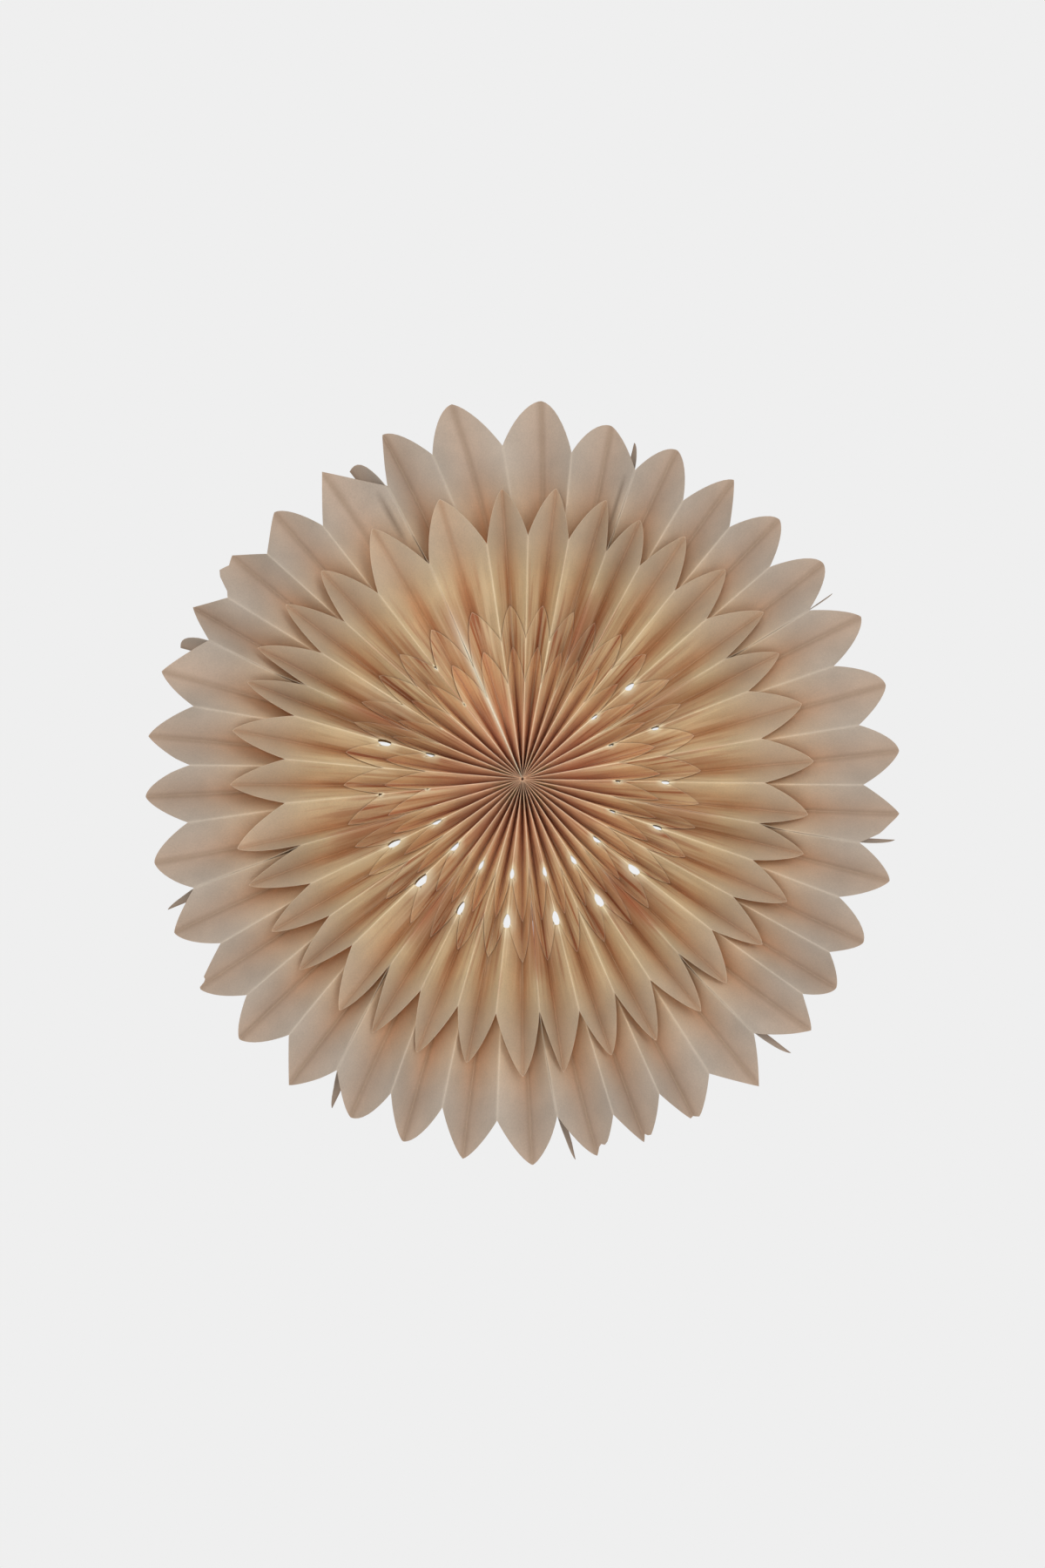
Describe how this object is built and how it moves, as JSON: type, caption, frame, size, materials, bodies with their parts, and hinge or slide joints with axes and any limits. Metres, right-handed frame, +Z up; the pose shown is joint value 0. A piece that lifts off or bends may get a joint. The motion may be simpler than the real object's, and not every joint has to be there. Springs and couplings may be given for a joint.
{
  "type": "paper fan rosette",
  "caption": "Round hanging decoration of pleated paper fans glued side by side, with four nested rings of leaf-shaped petal tips.",
  "frame": {"origin": "the hub's axis in the plane of the wall that the fins touch", "axes": "+Z up, -Y out of the front, +X to the right as seen from the front"},
  "size_m": [0.4992, 0.0576, 0.4997],
  "materials": {
    "outer_paper": "matte kraft paper, greyed",
    "middle_paper": "matte kraft paper",
    "inner_paper": "matte kraft paper, warm",
    "heart_paper": "matte kraft paper, warm"
  },
  "bodies": {
    "root": {"outer_sheet_1": "outer_paper", "middle_sheet_1": "middle_paper", "inner_sheet_1": "inner_paper", "heart_sheet_1": "heart_paper", "outer_sheet_2": "outer_paper", "middle_sheet_2": "middle_paper", "inner_sheet_2": "inner_paper", "heart_sheet_2": "heart_paper", "outer_sheet_3": "outer_paper", "middle_sheet_3": "middle_paper", "inner_sheet_3": "inner_paper", "heart_sheet_3": "heart_paper", "outer_sheet_4": "outer_paper", "middle_sheet_4": "middle_paper", "inner_sheet_4": "inner_paper", "heart_sheet_4": "heart_paper", "outer_sheet_5": "outer_paper", "middle_sheet_5": "middle_paper", "inner_sheet_5": "inner_paper", "heart_sheet_5": "heart_paper", "outer_sheet_6": "outer_paper", "middle_sheet_6": "middle_paper", "inner_sheet_6": "inner_paper", "heart_sheet_6": "heart_paper", "outer_sheet_7": "outer_paper", "middle_sheet_7": "middle_paper", "inner_sheet_7": "inner_paper", "heart_sheet_7": "heart_paper", "outer_sheet_8": "outer_paper", "middle_sheet_8": "middle_paper", "inner_sheet_8": "inner_paper", "heart_sheet_8": "heart_paper", "outer_sheet_9": "outer_paper", "middle_sheet_9": "middle_paper", "inner_sheet_9": "inner_paper", "heart_sheet_9": "heart_paper"}
  },
  "joints": []
}
